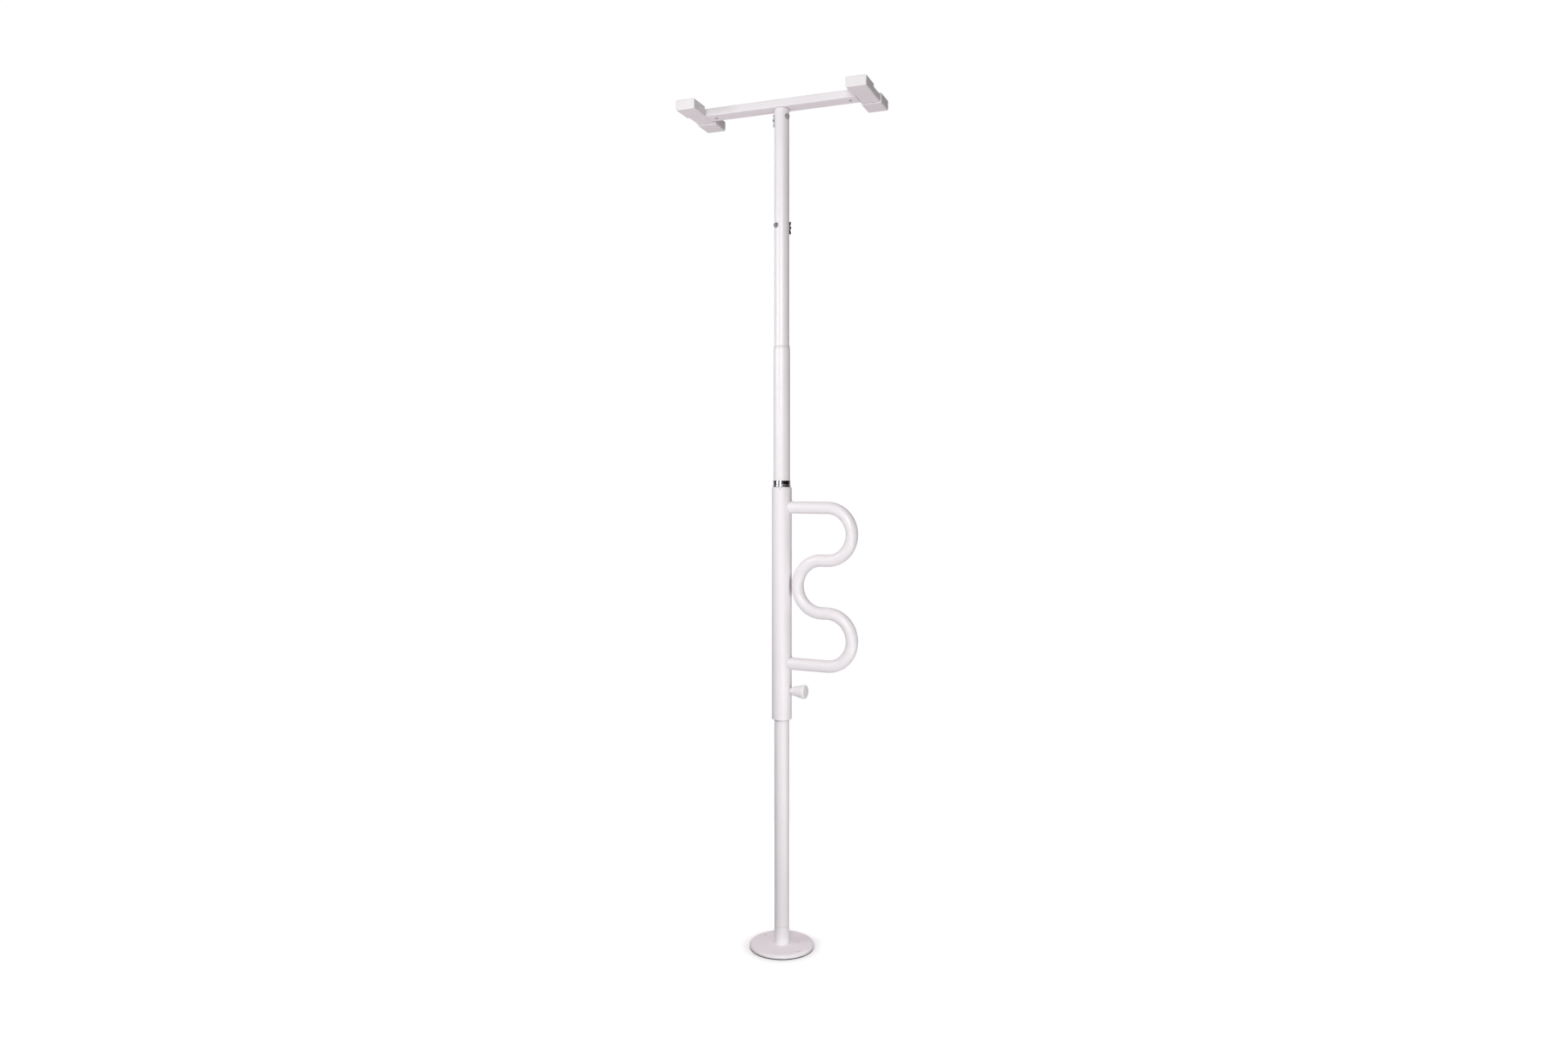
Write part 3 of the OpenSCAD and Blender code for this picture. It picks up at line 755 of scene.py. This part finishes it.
def housing_parts():
    """Neck of the plunger, coped to the sleeve at its root."""
    outline = rounded(
        [(HOUSING_BORE_R, HOUSING_ROOT), (housing_r, HOUSING_ROOT),
         (housing_r, housing_high.x), (HOUSING_BORE_R, housing_high.x)],
        [0, 0, 0.6, 0.3],
    )
    rings = place(turned(outline, 96), AT_LOCK)
    rings = [coped(ring) if ring[0].x < HOUSING_ROOT + 0.5 else ring for ring in rings]
    return [skin(rings, closed=True)]


neck_loop = root_loop(housing_r + NECK_BEAD_OUT, lock_z, NECK_BEAD_LIFT, 160)
piece("plunger_housing_neck", housing_parts(), "grab_bar", "white_powder_coat", ["plunger_housing"])
piece(
    "plunger_weld", [bead(neck_loop, NECK_BEAD, pitch=2.2)],
    "grab_bar", "white_powder_coat", sharp=60, weighted=False,
)

knob_low, knob_high = node_mm("lock_knob")
knob_r = knob_high.y
KNOB_SMALL_R, KNOB_BORE_R, KNOB_END_R, KNOB_END_T = 11.5, 8.6, 4.4, 5.0
KNOB_WAIST_R, KNOB_WAIST_X, KNOB_BELLY_X = KNOB_SMALL_R + 0.9, 7, 8
KNOB_RIM_DROP, KNOB_DOME_R, KNOB_DOME_DROP = 0.9, 8.0, 0.2
MIDDLE_R = 0.05  # as near to the axis as a turned outline goes


def knob_parts():
    """Knob that widens outward to a softly domed end, hollow round the housing."""
    x0, x1 = knob_low.x, knob_high.x
    corners_and_radii = [
        ((KNOB_BORE_R, x0), 0.5),
        ((KNOB_SMALL_R, x0), 1.4),
        ((KNOB_WAIST_R, x0 + KNOB_WAIST_X), 14),
        ((knob_r, x1 - KNOB_BELLY_X), 12),
        ((knob_r, x1 - KNOB_RIM_DROP), KNOB_END_R),
        ((KNOB_DOME_R, x1 - KNOB_DOME_DROP), 10),
        ((MIDDLE_R, x1), 0),
        ((MIDDLE_R, x1 - KNOB_END_T), 0),
        ((KNOB_BORE_R, x1 - KNOB_END_T), 0.5),
    ]
    corners, radii = zip(*corners_and_radii)
    return [skin(place(turned(rounded(corners, radii, 8), 128), AT_LOCK), closed=True)]


piece("lock_knob_grip", knob_parts(), "lock_plunger", "knob_plastic", ["lock_knob"], sharp=40)

spring_low, spring_high = node_mm("lock_spring")
SPRING_WIRE_R, SPRING_TURNS = 0.5, 6
spring_r = spring_high.y - SPRING_WIRE_R


def spring_parts(sides=10, steps_a_turn=24):
    """Coiled wire round the pin; its sections stand square to the helix."""
    x0, x1 = spring_low.x + SPRING_WIRE_R, spring_high.x - SPRING_WIRE_R
    rise = (x1 - x0) / (SPRING_TURNS * TAU)
    rings, count = [], SPRING_TURNS * steps_a_turn
    for s in range(count + 1):
        a = TAU * s / steps_a_turn
        outward = Vector((0, math.cos(a), math.sin(a)))
        along = Vector((rise, -spring_r * math.sin(a), spring_r * math.cos(a))).normalized()
        across = along.cross(outward)
        middle = Vector((x0 + (x1 - x0) * s / count, 0, lock_z)) + outward * spring_r
        rings.append([
            middle + (outward * math.cos(b) + across * math.sin(b)) * SPRING_WIRE_R
            for b in (TAU * k / sides for k in range(sides))
        ])
    return [skin(rings)]


spring = piece(
    "lock_spring_wire", spring_parts(), None, "spring_steel", ["lock_spring"], sharp=60, weighted=False,
)
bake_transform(spring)

# ---------------------------------------------------------------- upper pole

BUTT_EDGE = 0.35  # where the middle and upper tubes meet
middle_low, middle_high = node_mm("middle_tube")
upper_low, upper_high = node_mm("upper_tube")
for node, z0, z1, low, high in (
    ("middle_tube", middle_low.z, middle_high.z, TUBE_EDGE, BUTT_EDGE),
    ("upper_tube", upper_low.z, upper_high.z, BUTT_EDGE, TUBE_EDGE),
):
    piece(
        f"{node}_shell", [skin(turned(tube_outline(pole_r, bore_r, z0, z1, low, high)), closed=True)],
        "upper_pole", "white_powder_coat", [node],
    )

# ---------------------------------------------------------------- cross bolts, washers and wing nuts

BOLTS = {  # height and turn of each cross bolt
    "joint": (middle_high.z - 8, math.radians(70)),
    "head": (upper_high.z - 22, math.radians(160)),
}
BOLT_R, BOLT_OUT, THREAD_START = 3.0, 2.0, 4
HEAD_T, HEAD_AF = 4.0, 10.0
HEAD_TAPER = ((0.0, 6.2), (0.62, 6.2), (0.78, 5.55), (0.92, 5.05), (1.0, 4.6))  # share of height, radius
THREAD_PITCH, THREAD_MEAN, THREAD_WAVE = 1.0, BOLT_R - 0.28, 0.27
BEVEL_H, BEVEL_SHARE = 0.8, 0.14
WASHER_R, WASHER_T, WASHER_BORE_R = 6.5, 1.2, BOLT_R + 0.2
HUB_H, HUB_R, HUB_TIP_R, HUB_BORE_R = 9.0, 6.5, 5.0, BOLT_R + 0.1
WING_T, WING_H, WING_TIP_R = 2.4, 13.0, 4.5


def on_bolt(z, turn):
    """To the pole from axes whose X runs along a cross bolt."""
    return Matrix.Rotation(turn, 4, "Z") @ Matrix.Translation((0, 0, z))


def moved(parts, matrix):
    return [([matrix @ Vector(p) for p in points], faces) for points, faces in parts]


def hex_head(x0, x1, sides=96):
    """Hexagon head whose outer corners are turned down, as rings from x0 outward to x1."""
    rings = []
    for share, limit in HEAD_TAPER:
        ring = []
        for k in range(sides):
            a = TAU * k / sides
            r = min(HEAD_AF / 2 / math.cos((a % (TAU / 6)) - TAU / 12), limit)
            ring.append(Vector((r * math.cos(a), r * math.sin(a), x0 + (x1 - x0) * share)))
        rings.append(ring)
    return skin(rings)


def thread(x0, x1, sides=48, steps_a_turn=8):
    """Threaded rod with a real helix and a bevelled end."""
    steps = round((x1 - x0) / THREAD_PITCH * steps_a_turn)
    rings = []
    for s in range(steps + 1):
        x = x0 + (x1 - x0) * s / steps
        bevel = 1 - BEVEL_SHARE + BEVEL_SHARE * min(1.0, (x1 - x) / BEVEL_H)
        ring = []
        for k in range(sides):
            a = TAU * k / sides
            r = (THREAD_MEAN + THREAD_WAVE * math.cos(TAU * x / THREAD_PITCH - a)) * bevel
            ring.append(Vector((r * math.cos(a), r * math.sin(a), x)))
        rings.append(ring)
    return skin(rings)


def bolt_parts(z, turn):
    """Head and plain shank, and the thread that comes out past the nut."""
    face = pole_r + WASHER_T
    shank_end = face - THREAD_START
    head = hex_head(-face, -face - HEAD_T)
    rod = thread(shank_end, face + HUB_H + BOLT_OUT)
    shank = skin(turned([(BOLT_R, -face - 0.5), (BOLT_R, shank_end + 0.2)], 48))
    return moved([head, rod, shank], on_bolt(z, turn) @ ALONG_X)


def washer_parts(z, turn):
    """A washer on either side of the tube."""
    made = []
    for x in (pole_r, -pole_r - WASHER_T):
        outline = rounded(
            [(WASHER_BORE_R, x), (WASHER_R, x), (WASHER_R, x + WASHER_T), (WASHER_BORE_R, x + WASHER_T)],
            0.3, 3,
        )
        made.append(skin(place(turned(outline, 64), on_bolt(z, turn) @ ALONG_X), closed=True))
    return made


piece(
    "cross_bolts_hex", bolt_parts(*BOLTS["joint"]) + bolt_parts(*BOLTS["head"]),
    "upper_pole", "zinc_steel", ["cross_bolts"], sharp=30,
)
piece(
    "cross_washers_flat", washer_parts(*BOLTS["joint"]) + washer_parts(*BOLTS["head"]),
    "upper_pole", "zinc_steel", ["cross_washers"],
)

wing_low, wing_high = node_mm("joint_wing_nut")
WING_SPAN = wing_high.z - wing_low.z
WING_ROOT = HUB_TIP_R * 0.55
EAR_FOOT, EAR_NECK, EAR_LIFT = 1.0, HUB_H - 0.6, WING_H - 2 * WING_TIP_R - 0.4
EAR_FILLET, EAR_RIM = 0.9, 0.35
EAR_LEAST_HALF, EAR_LEAST_THICK = 0.15, 0.12


def wing_blade(x0, side, steps=30, sides=24):
    """One ear: sections across it from the hub to the tip, thick at the root and thin at the rim."""
    rings = []
    for s in range(steps + 1):
        t = s / steps
        out = WING_ROOT + (WING_SPAN / 2 - WING_ROOT) * math.sin(t * math.pi / 2)
        rise = min(1.0, t * 1.5)
        low = x0 + EAR_FOOT + EAR_LIFT * rise ** 1.3
        high = x0 + EAR_NECK + (WING_H - EAR_NECK) * rise ** 0.8
        past = max(0.0, (out - (WING_SPAN / 2 - WING_TIP_R)) / WING_TIP_R)
        shrink = math.sqrt(max(0.0, 1 - past * past))
        middle, half = (low + high) / 2, max(EAR_LEAST_HALF, (high - low) / 2 * shrink)
        root_thick = WING_T / 2 + EAR_FILLET * (1 - t) ** 3
        thick = max(EAR_LEAST_THICK, root_thick * (EAR_RIM + (1 - EAR_RIM) * shrink))
        ring = []
        for k in range(sides):
            a = TAU * k / sides
            c, d = math.cos(a), math.sin(a)
            x = middle + half * math.copysign(abs(c) ** 0.55, c)
            y = thick * math.copysign(abs(d) ** 0.8, d)
            ring.append(Vector((x, y, side * out)))
        rings.append(ring)
    return skin(rings)


def wing_nut_parts(z, turn):
    """Ears stand along the pole, on a tapered hub round the bolt."""
    x0 = pole_r + WASHER_T
    hub = rounded(
        [(HUB_BORE_R, x0), (HUB_R, x0), (HUB_TIP_R, x0 + HUB_H), (HUB_BORE_R, x0 + HUB_H)],
        [0.3, 0.8, 1.0, 0.4],
    )
    made = [skin(place(turned(hub, 72), ALONG_X), closed=True)]
    made += [wing_blade(x0, side) for side in (-1, 1)]
    return moved(made, on_bolt(z, turn))


for label, (z, turn) in BOLTS.items():
    piece(
        f"{label}_wing_nut_cast", wing_nut_parts(z, turn),
        f"{label}_nut", "zinc_steel", [f"{label}_wing_nut"], sharp=50,
    )

# ---------------------------------------------------------------- ceiling head

HEAD_TURN = math.radians(6)  # of the H head against the grab bar's plane
AT_HEAD = Matrix.Rotation(HEAD_TURN, 4, "Z")
BAR_W, BAR_H, BAR_WALL, BAR_CORNER = 47.0, 19.4, 1.5, 2.5
CROSS_X, CROSS_LEN, CAP_LEN, CAP_END = 226.5, 195.0, 64.0, 4.0
CAP_WALL, CAP_UNDER, CAP_TOP, CAP_CORNER = 3.0, 2.6, 4.0, 3.2
ceiling_z = node_mm("cap_left_front")[1].z
bar_top = ceiling_z - CAP_TOP
bar_middle = bar_top - BAR_H / 2
bar_bottom = bar_top - BAR_H


def box_ring(x, width, height, corner, grow=0.0, lift=0.0):
    """Rounded rectangle across the X axis at x, grown on every side and lifted."""
    outline = box_outline(width + 2 * grow, height + 2 * grow, corner)
    return [Vector((x, y, z + lift)) for y, z in outline]


def bar_parts(length, matrix, edge=0.5, spans=6):
    """Hollow rounded bar along X, as rings outside there and inside back; its ends are softened."""
    x0, x1 = -length / 2, length / 2
    soft = edge * 0.3
    steps = [(x0, -edge), (x0 + soft, -soft), (x0 + edge, 0.0)]
    steps += [(x0 + edge + (x1 - x0 - 2 * edge) * k / spans, 0.0) for k in range(1, spans)]
    steps += [(x1 - edge, 0.0), (x1 - soft, -soft), (x1, -edge)]
    rings = [box_ring(x, BAR_W, BAR_H, BAR_CORNER + grow, grow) for x, grow in steps]
    rings += [box_ring(x, BAR_W, BAR_H, BAR_CORNER - BAR_WALL, -BAR_WALL) for x in (x1, x0)]
    return [skin(place(rings, matrix), closed=True)]


cross_half = CROSS_X - BAR_W / 2
LEVEL = AT_HEAD @ Matrix.Translation((0, 0, bar_middle))
SIDES = {"left": -1, "right": 1}
piece(
    "crossbar_tube", bar_parts(2 * cross_half, LEVEL, 0.3),
    "upper_pole", "white_powder_coat", ["crossbar"],
)
for label, side in SIDES.items():
    across = LEVEL @ Matrix.Translation((side * CROSS_X, 0, 0)) @ Matrix.Rotation(math.pi / 2, 4, "Z")
    piece(
        f"cross_tube_{label}_bar", bar_parts(CROSS_LEN - 2 * CAP_END, across),
        "upper_pole", "white_powder_coat", [f"cross_tube_{label}"],
    )

CAP_H = CAP_TOP + BAR_H + CAP_UNDER
CAP_EDGE, CAP_EDGE_STEPS = 1.6, 6
CAP_MOUTH, CAP_MOUTH_STEPS, CAP_FLARE = 0.7, 3, 0.5


def cap_parts(side, way):
    """Moulded cap: rounded closed end, straight sides and an open mouth round the tube."""
    outer_end, inner_end = CROSS_LEN / 2, CROSS_LEN / 2 - CAP_LEN
    lift = ceiling_z - CAP_H / 2 - bar_middle
    rings = []

    def outer(x, grow=0.0):
        rings.append(box_ring(x, BAR_W + 2 * CAP_WALL, CAP_H, CAP_CORNER + grow, grow, lift))

    def inner(x, grow=0.0):
        rings.append(box_ring(x, BAR_W, BAR_H, BAR_CORNER + grow, grow))

    for k in range(CAP_EDGE_STEPS + 1):
        a = math.pi / 2 * k / CAP_EDGE_STEPS
        outer(outer_end - CAP_EDGE * (1 - math.cos(a)), -CAP_EDGE * (1 - math.sin(a)))
    for share in (0.75, 0.5, 0.25):
        outer(inner_end + CAP_LEN * share)
    for k in range(CAP_MOUTH_STEPS + 1):
        a = math.pi / 2 * k / CAP_MOUTH_STEPS
        outer(inner_end + CAP_MOUTH * (1 - math.sin(a)), -CAP_MOUTH * (1 - math.cos(a)))
    inner(inner_end, CAP_FLARE)
    inner(inner_end + CAP_MOUTH)
    inner(outer_end - CAP_END)
    matrix = LEVEL @ Matrix.Translation((side * CROSS_X, 0, 0))
    if way < 0:
        matrix = matrix @ Matrix.Rotation(math.pi, 4, "Z")
    matrix = matrix @ Matrix.Rotation(math.pi / 2, 4, "Z")
    return [skin(place(rings, matrix))]


for side_label, side in SIDES.items():
    for way_label, way in (("front", -1), ("back", 1)):
        node = f"cap_{side_label}_{way_label}"
        piece(f"{node}_rubber", cap_parts(side, way), "upper_pole", "white_cap_rubber", [node], sharp=45)

SCREW_X, SCREW_HEAD_R, SCREW_HEAD_T = cross_half - 21, 3.8, 2.0
SCREW_MIDDLE_R, SCREW_SINK, DOME_STEPS = 0.02, 0.1, 8
SLOT_TURN, SLOT_FLOOR = 0.3, -0.9
SLOT_MOUTH, SLOT_ROOT = (2.1, 0.5), (1.0, 0.3)  # half length and half width


def screw_dome():
    """Section of a pan head that hangs below the crossbar."""
    arc = [math.pi / 2 * k / DOME_STEPS for k in range(1, DOME_STEPS + 1)]
    return [
        (SCREW_MIDDLE_R, -SCREW_HEAD_T),
        *((SCREW_HEAD_R * math.sin(a) ** 0.8, -SCREW_HEAD_T * (0.25 + 0.75 * math.cos(a))) for a in arc),
        (SCREW_HEAD_R, SCREW_SINK),
        (SCREW_MIDDLE_R, SCREW_SINK),
    ]


def screw_slot(matrix):
    """Cutter for one slot of the cross recess."""
    rings = []
    for z, (along, across) in ((-SCREW_HEAD_T - 1, SLOT_MOUTH), (SLOT_FLOOR, SLOT_ROOT)):
        corners = ((-along, -across), (along, -across), (along, across), (-along, across))
        rings.append([matrix @ Vector((x, y, z)) for x, y in corners])
    return skin(rings)


def screw_parts():
    """Pan heads with a cross recess, on the crossbar's underside."""
    made = []
    for side in SIDES.values():
        at = AT_HEAD @ Matrix.Translation((side * SCREW_X, 0, bar_bottom))
        head = skin(place(turned(screw_dome(), 48), at), closed=True)
        for turn in (SLOT_TURN, SLOT_TURN + math.pi / 2):
            head = cut([head], [screw_slot(at @ Matrix.Rotation(turn, 4, "Z"))])
        made.append(head)
    return made


piece("insert_screw_heads", screw_parts(), "upper_pole", "zinc_steel", ["insert_screws"], sharp=40)

# ---------------------------------------------------------------- floor, light and world

FLOOR_RINGS, FLOOR_DROP = (20, 200, 500, 1000), 0.0005
SHADOW_DARK, FLOOR_BRIGHT = 0.36, 0.90
SHADOW_FROM, SHADOW_TO = 0.080, 0.150  # distances from the pole, in metres


def floor():
    """Pale disc that glows all over, and less in the contact shadow round the plate."""
    rings = turned([(r, 0) for r in FLOOR_RINGS], 96)
    points, faces = skin(rings, caps=(True, False))
    obj = new_object("floor", [p * MM for p in points], faces)
    obj.location.z = -FLOOR_DROP
    obj.visible_diffuse = obj.visible_glossy = False
    n = Nodes("studio_floor")
    colour = n.clouds(n.noise(2, 2), (0.60, 0.595, 0.60), (0.62, 0.615, 0.62))
    rough = n.span(n.noise(5, 2), 0.5, 0.6)
    away = n.add("ShaderNodeVectorMath", operation="LENGTH")
    n.link(n.place, away.inputs[0])
    n.shader.inputs["Emission Color"].default_value = (1, 1, 1, 1)
    glow = n.span(away.outputs["Value"], SHADOW_DARK, FLOOR_BRIGHT, SHADOW_FROM, SHADOW_TO)
    n.link(glow, n.shader.inputs["Emission Strength"])
    obj.data.materials.append(n.finish(colour, rough))


LIGHT_WIDE, LIGHT_TALL, LIGHT_COLOUR = 0.6, 0.8, (0.985, 1.0, 1.0)
# turn from the camera's direction in degrees, positive to the right, then distance and height
# in metres, then power in watts
LIGHTS = (
    (-70, 2.2, 2.0, 12.2), (-62, 1.3, 1.5, 2.7), (-5, 2.2, 2.0, 20.0), (-20, 2.2, 1.2, 5.2),
    (-20, 2.2, 0.4, 2.1), (10, 2.2, 0.4, 9.8), (40, 1.3, 0.15, 5.4), (70, 1.3, 0.15, 1.4),
)


def area_light(turn, distance, height, power):
    """A soft box that faces the pole level."""
    data = bpy.data.lights.new("soft_box", "AREA")
    data.shape, data.size, data.size_y, data.energy = "RECTANGLE", LIGHT_WIDE, LIGHT_TALL, power
    data.color = LIGHT_COLOUR
    obj = bpy.data.objects.new("soft_box", data)
    bpy.context.scene.collection.objects.link(obj)
    a = math.radians(turn)
    outward = TOWARDS_CAMERA * math.cos(a) + CAMERA_RIGHT * math.sin(a)
    obj.location = outward * distance + Vector((0, 0, height))
    obj.rotation_euler = (-outward).to_track_quat("-Z", "Y").to_euler()
    obj.visible_camera = False


# direction and colour of each lobe of fill light
FILL = (
    (-TOWARDS_CAMERA, (0.80, 0.715, 0.76)),
    (Vector((0, 0, 1)), (0.60, 0.55, 0.57)),
    (Vector((0, 0, -1)), (0.60, 0.55, 0.575)),
)
LOBE_POWER, BACKDROP = 2, 1.02


def fill_lobe(tree, towards, axis, colour):
    """Light of that colour from round the axis, as a power of the cosine of the angle off it."""
    along = add_node(tree, "ShaderNodeVectorMath", operation="DOT_PRODUCT")
    along.inputs[1].default_value = axis
    tree.links.new(towards, along.inputs[0])
    facing = add_node(tree, "ShaderNodeMath", operation="MAXIMUM")
    facing.inputs[1].default_value = 0
    tree.links.new(along.outputs["Value"], facing.inputs[0])
    lobe = add_node(tree, "ShaderNodeMath", operation="POWER")
    lobe.inputs[1].default_value = LOBE_POWER
    tree.links.new(facing.outputs["Value"], lobe.inputs[0])
    tint = add_node(tree, "ShaderNodeVectorMath", operation="SCALE")
    tint.inputs[0].default_value = colour
    tree.links.new(lobe.outputs["Value"], tint.inputs["Scale"])
    return tint.outputs["Vector"]


def world():
    """White where the camera looks past the part; soft lobes of fill light everywhere else."""
    studio = bpy.data.worlds.new("studio")
    bpy.context.scene.world = studio
    studio.use_nodes = True
    tree = studio.node_tree
    tree.nodes.clear()
    towards = add_node(tree, "ShaderNodeTexCoord").outputs["Generated"]
    total, *others = [fill_lobe(tree, towards, axis, colour) for axis, colour in FILL]
    for lobe in others:
        both = add_node(tree, "ShaderNodeVectorMath", operation="ADD")
        tree.links.new(total, both.inputs[0])
        tree.links.new(lobe, both.inputs[1])
        total = both.outputs["Vector"]
    fill = add_node(tree, "ShaderNodeBackground")
    tree.links.new(total, fill.inputs["Color"])
    seen = add_node(tree, "ShaderNodeBackground")
    seen.inputs["Color"].default_value = (1, 1, 1, 1)
    seen.inputs["Strength"].default_value = BACKDROP
    path = add_node(tree, "ShaderNodeLightPath")
    mix = add_node(tree, "ShaderNodeMixShader")
    tree.links.new(path.outputs["Is Camera Ray"], mix.inputs["Fac"])
    tree.links.new(fill.outputs["Background"], mix.inputs[1])
    tree.links.new(seen.outputs["Background"], mix.inputs[2])
    out = add_node(tree, "ShaderNodeOutputWorld")
    tree.links.new(mix.outputs["Shader"], out.inputs["Surface"])


floor()
for turn, distance, height, power in LIGHTS:
    area_light(turn, distance, height, power)
world()
bpy.context.scene.view_settings.view_transform = "Standard"
